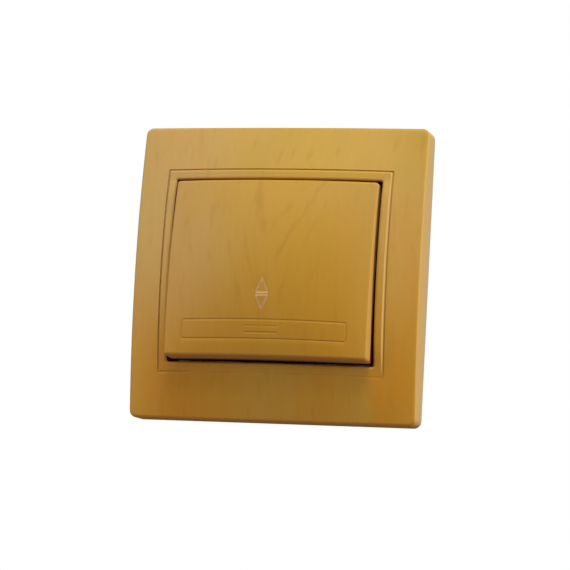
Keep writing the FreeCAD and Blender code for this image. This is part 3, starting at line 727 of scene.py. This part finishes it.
def moulded(name, dark, light, rough, shine=0.5):
    """Moulded plastic: a fine spark-eroded surface and faint flow marks."""
    material, tree, principled = new_material(name, {"Specular IOR Level": shine})
    place = place_mm(tree)
    flow = noise(tree, place, (0.09, 0.09, 0.05), 3.0, 0.55)
    speck = noise(tree, place, (1.2, 1.2, 1.2), 4.0, 0.65)
    colour = blend(tree, ramp(tree, flow, 0.3, 0.7), linear(*dark), linear(*light))
    colour = tinted(tree, colour, speck, (0.55, 0.8), (0.0, 0.12), dark)
    tree.links.new(colour, principled.inputs["Base Color"])
    tree.links.new(ramp(tree, flow, 0.25, 0.75, rough - 0.06, rough + 0.08), principled.inputs["Roughness"])
    bumped(tree, principled, speck, 0.02, 0.7)
    return material


def galvanised():
    """Zinc-plated strip: soft spangles and rolling lines."""
    material, tree, principled = new_material("zinc_plate", {"Metallic": 1.0})
    place = place_mm(tree)
    inputs = {"Vector": vector_maths(tree, "MULTIPLY", place, (0.6, 0.6, 0.6)), "Scale": 1.0}
    cells = add(tree, "ShaderNodeTexVoronoi", inputs)
    spangle = add(tree, "ShaderNodeSeparateColor", {0: cells.outputs["Color"]}).outputs[0]
    rolling = noise(tree, place, (0.12, 4.0, 4.0), 3.0, 0.6)
    colour = blend(tree, ramp(tree, spangle, 0.0, 1.0), linear(182, 184, 182), linear(196, 198, 195))
    colour = tinted(tree, colour, rolling, (0.45, 0.8), (0.0, 0.25), (150, 152, 150))
    tree.links.new(colour, principled.inputs["Base Color"])
    tree.links.new(ramp(tree, spangle, 0.0, 1.0, 0.38, 0.46), principled.inputs["Roughness"])
    bumped(tree, principled, rolling, 0.006, 0.5)
    return material


def plated(name, dark, light, rough, scale, tarnish=None):
    """Turned or stamped metal: fine tool lines, uneven shine and, where asked, a little tarnish."""
    material, tree, principled = new_material(name, {"Metallic": 1.0})
    place = place_mm(tree)
    lines = noise(tree, place, scale, 3.0, 0.6)
    patches = noise(tree, place, (0.5, 0.5, 0.5), 3.0, 0.55)
    colour = blend(tree, ramp(tree, lines, 0.3, 0.7), linear(*dark), linear(*light))
    if tarnish:
        colour = tinted(tree, colour, patches, (0.5, 0.75), (0.0, 0.45), tarnish)
    tree.links.new(colour, principled.inputs["Base Color"])
    tree.links.new(ramp(tree, patches, 0.25, 0.75, rough - 0.07, rough + 0.1), principled.inputs["Roughness"])
    bumped(tree, principled, lines, 0.008, 0.5)
    return material


# Cover frame
def line_share(x, z):
    """Share of the line's depth at a place: faint along the bottom but for its left end, weaker on top."""
    low, high = line_z - line_half_z, line_z + line_half_z
    in_bottom = smooth(low + line_fade_start, low + line_fade_end, z)
    kept = 1 - smooth(*line_corner_x, x)
    in_top = smooth(high - line_fade_start, high - line_fade_end, z)
    faded = in_bottom * (1 - max(line_corner_share * kept, line_bottom_share))
    return 1 - faded - in_top * (1 - line_top_share)


def line_cut(t):
    """Share of the line's depth at a place across it."""
    for (t0, share0), (t1, share1) in zip(line_profile, line_profile[1:]):
        if t >= t1:
            return share0 + (share1 - share0) * (t - t0) / (t1 - t0)
    return 0.0


def line_rows():
    """Rows across the line and up the edge of the raised field; along the bottom the flank faces up."""
    places = sorted({t for t, _ in line_profile} | {-t for t, _ in line_profile} | {0.0}, reverse=True)
    rows = []
    for t in places:
        aside = t * line_width / 2
        climb = 1 - smooth(*climb_span, t)
        row = []
        for x, z, _, uz in loop(line_half_x + aside, line_half_z + aside, line_corner):
            z += line_z
            turned = smooth(*flank_turn, -uz)
            share = line_cut(t) * (1 - turned) + line_cut(-t) * turned
            depth = dome(x, z) + climb * (inner_face(x, z) - dome(x, z))
            row.append((x, depth - line_depth * share * line_share(x, z), z))
        rows.append(row)
    return rows


def add_frame_ribs(bm):
    """Ribs from the window's skirt to the plate's walls."""
    far = plate_half - plate_wall + rib_sink
    start_z, start_x = window_half_z + rib_sink, window_half_x + rib_sink
    half = frame_rib / 2
    for flip in (-1, 1):
        for x in (-rib_x, 0.0, rib_x):
            z0, z1 = sorted((flip * start_z, flip * far))
            add_rib(bm, (x - half, z0), (x + half, z1), rib_foot, dome, dome_wall / 2)
        for z in (-rib_z, 0.0, rib_z):
            x0, x1 = sorted((flip * start_x, flip * far))
            add_rib(bm, (x0, z - half), (x1, z + half), rib_foot, dome, dome_wall / 2)


def add_snap_legs(bm):
    """Hooked legs above and below the window."""
    root_y = -skirt_foot - leg_root
    leg = [(root_y, leg_low_z), (root_y, leg_high_z), (leg_hook_y, leg_high_z)]
    leg += [(leg_hook_y, leg_high_z + leg_hook), (leg_hook_end_y, leg_high_z + leg_hook)]
    leg += [(leg_tip_y, leg_high_z - leg_taper), (leg_tip_y, leg_low_z)]
    for flip in (-1, 1):
        for x in (-leg_x, leg_x):
            x0, x1 = x - leg_half_x, x + leg_half_x
            add_prism(bm, leg, lambda y, z: (x0, y, flip * z), lambda y, z: (x1, y, flip * z))


def cover_frame(*materials):
    """Domed shell with its window, skirt, ribs and snap legs, printed outside and bare within."""
    bm = bmesh.new()
    outer = loop(plate_half, plate_half, plate_corner)
    edge = round_over(dome, outer, plate_edge_round, edge_steps)
    back_half = plate_half - plate_back_bevel
    back = loop(back_half, back_half, plate_corner - plate_back_bevel)
    rows = [level(back, 0.0), level(outer, plate_back_bevel)]
    rows += [part_way(rows[1], edge[0], t) for t in plate_wall_shares]
    rows += edge
    line = line_rows()
    rows += [laid(points, dome) for points in between(flat(edge[-1]), flat(line[0]), plate_steps)]
    rows += line

    window = loop(window_half_x, window_half_z, window_corner)
    inward = [(x, z, -ux, -uz) for x, z, ux, uz in window]
    lip = round_over(inner_face, inward, window_lip_round, lip_steps)[::-1]
    rows += [laid(points, inner_face) for points in between(flat(line[-1]), flat(lip[0]), field_steps)]
    rows += lip
    wall_from = len(rows) - 1
    foot = level(window, skirt_foot)
    rows += [part_way(lip[-1], foot, t) for t in window_wall_shares]
    skirt = loop(window_half_x + skirt_wall, window_half_z + skirt_wall, window_corner + skirt_wall)
    hollow_half = plate_half - plate_wall
    hollow = loop(hollow_half, hollow_half, plate_corner - plate_wall / 2)
    rows += [level(skirt, skirt_foot), laid(skirt, dome, dome_wall)]
    rows += [laid(points, dome, dome_wall) for points in between(skirt, hollow, hollow_steps)]
    rows += [laid(hollow, dome, dome_wall), level(hollow, 0.0)]

    def finish(row, _):
        """Printed to the window's lip, then a redder, unreflective colour painted for the shade in the gap
        down the window's wall, then bare.
        """
        if row < wall_from:
            return PRINTED
        return GAP if row < wall_from + frame_gap_rows else BARE

    add_rows(bm, rows, True, finish)
    shell_faces = len(bm.faces)
    add_frame_ribs(bm)
    add_snap_legs(bm)
    leave_bare(bm, shell_faces)
    make_piece("cover_frame_shell", bm, "switch_base", materials, ("cover_frame",))


# Rocker
def from_box(x, z, half_x, half_z, corner):
    """Signed distance from a rounded rectangle's outline."""
    over_x = abs(x) - half_x + corner
    over_z = abs(z) - half_z + corner
    outside = math.hypot(max(over_x, 0), max(over_z, 0))
    return outside + min(max(over_x, over_z), 0) - corner


def label_cut(x, z):
    """Depth of the label field's lines at a place, alike on both sides."""
    off_line = abs(from_box(x, z - label_z, label_half_x, label_half_z, label_corner))
    shares = [1 - off_line / (label_line / 2)]
    for bar_z, share in zip(label_bar_z, label_bar_share):
        off_bar = math.hypot(max(abs(x) - label_bar_half_x, 0), z - label_z - bar_z)
        shares.append(share * (1 - off_bar / (label_line / 2)))
    return engraving_depth * max(shares + [0.0]) ** label_power


def engraved(x, z):
    """Depth of the label field's lines: a steep side above and to the right, a long one opposite."""
    cuts = []
    for k in range(label_steps):
        aside = k * label_run / label_steps
        cuts.append((1 - k / label_steps) * label_cut(x + aside, z + aside))
    return max(cuts)


def stations(half, zones):
    """Grid lines from -half to half, close together in the given zones."""
    marks = [-half]
    while marks[-1] < half - tiny:
        here = marks[-1]
        fine = any(low - tiny <= here < high - tiny for low, high in zones)
        step = grid_fine if fine else grid_coarse
        ahead = [low for low, high in zones if here < low < here + step]
        marks.append(min([here + step, half] + ahead))
    return marks


def to_rest(point):
    """Neutral rocker place turned to the rest position, top pressed in."""
    angle = math.radians(-rest_tilt)
    cos, sin = math.cos(angle), math.sin(angle)
    y, z = point[1] + pivot_front, point[2]
    return (point[0], y * cos - z * sin - pivot_front, y * sin + z * cos)


def turn_to_rest(bm):
    """Turn a neutral rocker mesh to its rest position."""
    for vertex in bm.verts:
        vertex.co = to_rest(vertex.co)


def cap_grid(bm):
    """Engraved face inside the edge round; returns its border vertices and wall points with directions."""
    half_x, half_z = rocker_half_x - rocker_edge_round, rocker_half_z - rocker_edge_round
    side = (label_half_x - label_corner - corner_margin, label_half_x + grid_margin)
    bar = (label_bar_half_x - bar_margin_in, label_bar_half_x + bar_margin_out)
    xs = stations(half_x, [side, bar, (-side[1], -side[0]), (-bar[1], -bar[0])])
    zs = stations(half_z, [(label_z - label_half_z - grid_margin, label_z + label_half_z + grid_margin)])
    face = [[bm.verts.new((x, -(rocker_face(x, z) - engraved(x, z)), z)) for z in zs] for x in xs]
    for i in range(len(xs) - 1):
        for j in range(len(zs) - 1):
            bm.faces.new((face[i][j], face[i + 1][j], face[i + 1][j + 1], face[i][j + 1]))

    sides = [face[-1], [column[-1] for column in face][::-1], face[0][::-1], [column[0] for column in face]]
    border = []
    for k, vertices in enumerate(sides):
        for vertex in vertices:
            border.append((vertex, math.radians(90 * k)))
        for i in range(1, brow_corner_steps):
            border.append((vertices[-1], math.radians(90 * (k + i / brow_corner_steps))))
    walls = []
    for vertex, angle in border:
        ux, uz = math.cos(angle), math.sin(angle)
        walls.append((vertex.co.x + rocker_edge_round * ux, vertex.co.z + rocker_edge_round * uz, ux, uz))
    return [vertex for vertex, _ in border], walls


def join_border(bm, border, row):
    """Faces between the engraved face's border and the first row round it."""
    for i in range(len(border)):
        j = (i + 1) % len(border)
        corners = [border[i], row[i], row[j]]
        if border[j] is not border[i]:
            corners.append(border[j])
        bm.faces.new(corners)


def add_seat_ribs(bm):
    """Ribs that sit on the carrier, and hooked arms that hold it."""
    back = rocker_roof / 2
    outer_x, hook_x = arm_inner_x + arm_thick, arm_inner_x - hook_reach
    for side in (-1, 1):
        for x0, x1, reach in seat_ribs:
            low, high = sorted((side * x0, side * x1))
            add_rib(bm, (low, -reach), (high, reach), seat_front, rocker_face, back)
        for z in (-arm_z, arm_z):
            top = rocker_face(outer_x, z) - back - arm_sink
            outline = [(outer_x, arm_tip), (outer_x, top), (arm_inner_x, top), (arm_inner_x, hook_front)]
            outline += [(hook_x, hook_front), (hook_x, hook_front - hook_thick)]
            outline.append((arm_inner_x + arm_tip_set, arm_tip))
            z0, z1 = z - arm_half_z, z + arm_half_z
            add_prism(bm, outline, lambda x, d: (side * x, -d, z0), lambda x, d: (side * x, -d, z1))
    low, high = (-stiff_rib_half_x, -stiff_rib_half_z), (stiff_rib_half_x, stiff_rib_half_z)
    add_rib(bm, low, high, seat_front + stiff_rib_gap, rocker_face, back)


def rocker_cap(*materials):
    """Crowned cap: engraved face, rounded brow, walls, hollow underside, seat ribs and snap arms."""
    bm = bmesh.new()
    border, walls = cap_grid(bm)
    brow = round_over(rocker_face, walls, rocker_edge_round, brow_steps)[::-1]
    inner_x, inner_z = rocker_half_x - rocker_wall, rocker_half_z - rocker_wall
    inner = [(max(-inner_x, min(inner_x, x)), max(-inner_z, min(inner_z, z))) for x, z, _, _ in walls]
    foot = level(walls, rocker_foot)
    rows = brow + [part_way(brow[-1], foot, t) for t in rocker_wall_shares]
    wall_from = len(brow) + rocker_printed_rows

    def finish(row, i):
        """Printed down the wall: further on the top and bottom walls, which come out of the window; then a
        redder, unreflective colour painted for the shade in the gap, then bare.
        """
        if row < wall_from or (row == wall_from and abs(walls[i][3]) > upright_share):
            return PRINTED
        return GAP if row < len(brow) + rocker_gap_rows else BARE

    rows += [level(inner, rocker_foot), laid(inner, rocker_face, rocker_roof)]
    for share in roof_shares:
        rows.append(laid([(x * share, z * share) for x, z in inner], rocker_face, rocker_roof))
    made = add_rows(bm, rows, finish=finish)
    join_border(bm, border, made[0])
    shell_faces = len(bm.faces)
    middle = bm.verts.new((0, -(rocker_front - rocker_roof), 0))
    last = made[-1]
    for i in range(len(last)):
        bm.faces.new((last[i], last[(i + 1) % len(last)], middle))

    add_seat_ribs(bm)
    leave_bare(bm, shell_faces)
    turn_to_rest(bm)
    make_piece("rocker_cap", bm, "rocker_unit", materials, ("rocker",))


# Printed mark
def add_stroke(bm, start, end, width, end_width=None, height=ink_height):
    """Thin closed strip of ink laid on the rocker's face, as wide at its end unless told otherwise."""
    dx, dz = end[0] - start[0], end[1] - start[1]
    length = math.hypot(dx, dz)
    growth = (end_width or width) - width
    sections = []
    for i in range(stroke_steps + 1):
        x, z = start[0] + dx * i / stroke_steps, start[1] + dz * i / stroke_steps
        half = (width + growth * i / stroke_steps) / 2
        ring = []
        for sign, lift in ((-1, -ink_sink), (-1, height), (1, height), (1, -ink_sink)):
            px, pz = x - sign * half * dz / length, z + sign * half * dx / length
            ring.append((px, rocker_face(px, pz) + lift, pz))
        sections.append(ring)
    add_closed(bm, sections)


def two_way_mark(bars, outlines, fill):
    """Two triangles back to back with a double bar, the upper one hatched, the lower one filled."""
    bar_mesh, line_mesh, fill_mesh = bmesh.new(), bmesh.new(), bmesh.new()
    left, right = mark_x - mark_half_x, mark_x + mark_half_x
    upper_z, lower_z = mark_bar_z + mark_gap / 2, mark_bar_z - mark_gap / 2
    for tip_z, base_z in ((mark_top_z, upper_z), (mark_low_z, lower_z)):
        add_stroke(bar_mesh, (left, base_z), (right, base_z), mark_bar_line)
        foot_z = base_z + math.copysign(mark_bar_line / 2, tip_z - base_z)
        add_stroke(line_mesh, (left + mark_line_set, foot_z), (mark_x, tip_z), mark_line)
        add_stroke(line_mesh, (right - mark_line_set, foot_z), (mark_x, tip_z), mark_line)
    base_z = upper_z + mark_bar_line / 2
    for x in mark_hatch_x:
        share = 1 - abs(x) / mark_half_x
        top_z = base_z + share * (mark_top_z - base_z) - mark_hatch_gap
        add_stroke(line_mesh, (mark_x + x, base_z), (mark_x + x, top_z), mark_line * mark_hatch_share)
    start, end = (mark_x, lower_z - mark_bar_line / 2), (mark_x, mark_low_z + mark_fill_gap)
    add_stroke(fill_mesh, start, end, 2 * mark_half_x - mark_fill_gap, mark_fill_tip, ink_height / 2)
    meshes = (bar_mesh, line_mesh, fill_mesh)
    for name, bm, ink in zip(("mark_bars", "mark_triangles", "mark_fill"), meshes, (bars, outlines, fill)):
        turn_to_rest(bm)
        make_piece(name, bm, "rocker_unit", (ink,))


# Claw screws
def screw_rows():
    """Rows of (radius, y) from the head's crown down the thread to the tip."""
    head_top = claw_head_under_y - claw_head_high
    rows = []
    for i in range(1, head_steps + 1):
        turn = math.radians(90 * i / head_steps)
        radius = claw_head_radius - claw_head_round
        if i > 1:
            radius += claw_head_round * math.sin(turn)
        rows.append([(radius, head_top + claw_head_round * (1 - math.cos(turn)))] * screw_sides)
    rows.append([(claw_head_radius, claw_head_under_y - claw_head_bevel)] * screw_sides)
    rows.append([(claw_head_radius - claw_head_bevel, claw_head_under_y)] * screw_sides)
    rows.append([(claw_screw_radius, claw_head_under_y)] * screw_sides)
    start_y, end_y = claw_head_under_y + thread_start, claw_screw_tip_y - claw_screw_point
    count = int((end_y - start_y) / claw_screw_pitch * thread_steps)
    for i in range(count + 1):
        y = start_y + (end_y - start_y) * i / count
        fade = smooth(0, thread_fade, y - start_y)
        row = []
        for k in range(screw_sides):
            phase = (k / screw_sides + y / claw_screw_pitch) % 1
            height = smooth(*thread_flank, abs(2 * phase - 1))
            depth = (claw_screw_radius - claw_screw_core) * (1 - height) * fade
            row.append((claw_screw_radius - depth, y))
        rows.append(row)
    rows.append([(claw_screw_core * claw_screw_tip_share, claw_screw_tip_y)] * screw_sides)
    return rows


def cut_cross(piece, side):
    """Cut the driver's cross into a claw screw's head."""
    bm = bmesh.new()
    cx, cz = side * claw_screw_x, side * claw_z
    head_top = claw_head_under_y - claw_head_high
    over, bottom = head_top - cross_over, head_top + cross_depth
    for half_x, half_z in ((cross_half, cross_half_width), (cross_half_width, cross_half)):
        corners = [(-half_x, -half_z), (half_x, -half_z), (half_x, half_z), (-half_x, half_z)]
        add_prism(
            bm, corners,
            lambda x, z: (cx + x, over, cz + z),
            lambda x, z: (cx + x * cross_taper, bottom, cz + z * cross_taper),
        )
    bmesh.ops.recalc_face_normals(bm, faces=bm.faces)
    cutter = to_object("cross", bm)
    modifier = piece.modifiers.new("cross", "BOOLEAN")
    modifier.operation = "DIFFERENCE"
    modifier.solver = "EXACT"
    modifier.use_self = True
    modifier.object = cutter
    bpy.context.view_layer.update()
    shown = piece.evaluated_get(bpy.context.evaluated_depsgraph_get())
    piece.data = bpy.data.meshes.new_from_object(shown)
    piece.modifiers.clear()
    bpy.data.objects.remove(cutter)


def claw_screw(name, node, body, side, material):
    """Pan-headed screw with a real thread and a cross recess."""
    bm = bmesh.new()
    rows = []
    for row in screw_rows():
        points = []
        for k, (radius, y) in enumerate(row):
            angle = 2 * math.pi * k / len(row)
            x = side * (claw_screw_x + radius * math.cos(angle))
            z = side * claw_z + radius * math.sin(angle)
            points.append((x, -y, z))
        rows.append(points)
    add_closed(bm, rows)
    piece = make_piece(name, bm, body, (material,), (node,), sharp=thread_sharp_angle)
    cut_cross(piece, side)


# Room and camera
def floor():
    """Pale floor well under the switch; its light on the switch is dimmer than it looks."""
    material, tree, principled = new_material("floor_paper", {"Roughness": 0.9})
    fibre = noise(tree, place_mm(tree), (0.05, 0.05, 0.05), 4.0, 0.6)
    colour = blend(tree, ramp(tree, fibre, 0.3, 0.7), floor_dark, floor_light)
    seen = seen_by(tree, "Is Camera Ray", "Is Glossy Ray")
    colour = blend(tree, seen, (floor_bounce, floor_bounce, floor_bounce, 1), colour)
    tree.links.new(colour, principled.inputs["Base Color"])
    bm = bmesh.new()
    bmesh.ops.create_grid(bm, x_segments=1, y_segments=1, size=floor_half)
    ground = to_object("floor", bm, 1.0)
    ground.data.materials.append(material)
    ground.location.z = floor_z * MM


def camera():
    """Camera at the photograph's viewpoint."""
    azimuth, elevation, roll = (math.radians(a) for a in (view_azimuth, view_elevation, view_roll))
    ahead = math.cos(elevation)
    back = Vector((math.sin(azimuth) * ahead, -math.cos(azimuth) * ahead, math.sin(elevation)))
    level_right = Vector((math.cos(azimuth), math.sin(azimuth), 0))
    level_up = back.cross(level_right)
    right = level_right * math.cos(roll) + level_up * math.sin(roll)
    up = back.cross(right)
    data = bpy.data.cameras.new("camera")
    data.sensor_width = view_sensor
    data.lens = view_lens
    data.clip_start = view_clip_start
    made = bpy.data.objects.new("camera", data)
    made.matrix_world = Matrix((right, up, back)).transposed().to_4x4()
    made.location = (back * view_distance + right * view_shift_x + up * view_shift_z) * MM
    bpy.context.scene.collection.objects.link(made)
    bpy.context.scene.camera = made


def lamp(name, place, size, power, colour):
    """Square area lamp that points at the origin, behind the plate's middle."""
    data = bpy.data.lights.new(name, "AREA")
    data.size = size
    data.energy = power
    data.color = colour
    made = bpy.data.objects.new(name, data)
    made.location = place
    made.rotation_mode = "QUATERNION"
    made.rotation_quaternion = (-Vector(place)).to_track_quat("-Z", "Y")
    bpy.context.scene.collection.objects.link(made)


def world():
    """Soft room light, brighter from above; plain white where the camera or a reflection sees it."""
    made = bpy.data.worlds.new("studio")
    bpy.context.scene.world = made
    made.use_nodes = True
    tree = made.node_tree
    tree.nodes.clear()
    where = add(tree, "ShaderNodeTexCoord")
    height = add(tree, "ShaderNodeSeparateXYZ", {0: where.outputs["Generated"]}).outputs["Z"]
    glow = ramp(tree, height, *world_span, world_low, world_high)
    seen = seen_by(tree, "Is Camera Ray", "Is Glossy Ray", "Is Transmission Ray")
    light = add(tree, "ShaderNodeBackground", {"Color": (1, 1, 1, 1), "Strength": glow})
    white = add(tree, "ShaderNodeBackground", {"Color": (1, 1, 1, 1), "Strength": 1.0})
    inputs = {0: seen, 1: light.outputs[0], 2: white.outputs[0]}
    mixed = add(tree, "ShaderNodeMixShader", inputs)
    add(tree, "ShaderNodeOutputWorld", {"Surface": mixed.outputs[0]})


def dress(material, *nodes):
    """Give frame nodes a material."""
    for node in nodes:
        mesh = frame["nodes"][node].data
        mesh.materials.clear()
        mesh.materials.append(material)


# Scene
camera()
world()
for name, place, size, power, colour in lamps:
    lamp(name, place, size, power, colour)
floor()

frame_print = wood_print("frame_print", frame_sheet, frame_tone, False, lacquer_shine)
frame_edge = wood_print("frame_edge_print", frame_sheet, frame_tone, False, 0.0)
rocker_print = wood_print("rocker_print", rocker_sheet, rocker_tone, True, lacquer_shine)
rocker_edge = wood_print("rocker_edge_print", rocker_sheet, rocker_tone, True, 0.0)
bare = moulded("bare_plastic", (108, 50, 26), (122, 60, 34), 0.6, 0.12)
# Redder, unreflective colour painted on the walls in the gaps for the shade there
gap = moulded("gap_painted_shade", (128, 36, 8), (140, 44, 12), 0.6, 0.0)
cover_frame(frame_print, bare, frame_edge, gap)
rocker_cap(rocker_print, bare, rocker_edge, gap)
bars = printed_ink("mark_bar_ink", (206, 160, 92), (222, 182, 122))
outlines = printed_ink("mark_outline_ink", (186, 140, 76), (196, 150, 92))
fill = printed_ink("mark_fill_ink", (170, 124, 56), (178, 132, 66))
two_way_mark(bars, outlines, fill)

zinc = plated("zinc_screw", (168, 170, 172), (208, 208, 204), 0.3, (2.0, 9.0, 2.0))
claw_screw("claw_screw_right_threaded", "claw_screw_right", "claw_screw_right", 1, zinc)
claw_screw("claw_screw_left_threaded", "claw_screw_left", "claw_screw_left", -1, zinc)
dress(galvanised(), "yoke", "claw_right", "claw_left")
dress(zinc, "terminal_screw_one", "terminal_screw_two", "terminal_screw_common")
dress(zinc, "clamp_one", "clamp_two", "clamp_common")
brass = plated("brass", (196, 156, 84), (222, 184, 108), 0.32, (1.5, 1.5, 6.0), (150, 108, 58))
dress(brass, "terminal_one", "terminal_two", "common_terminal", "moving_contact")
silver = plated("silver", (200, 198, 192), (232, 230, 226), 0.25, (3.0, 3.0, 3.0), (150, 142, 128))
dress(silver, "fixed_tips", "moving_tips")
wire = plated("spring_wire", (150, 150, 150), (196, 196, 194), 0.28, (4.0, 4.0, 4.0))
dress(wire, "plunger_spring")
dress(moulded("base_plastic", (206, 205, 198), (222, 221, 215), 0.42), "mechanism_housing")
dress(moulded("cover_plastic", (128, 130, 132), (146, 148, 149), 0.45), "mechanism_cover")
dress(moulded("carrier_plastic", (226, 225, 220), (238, 237, 233), 0.38), "carrier", "plunger")

bpy.context.scene.view_settings.view_transform = "Standard"
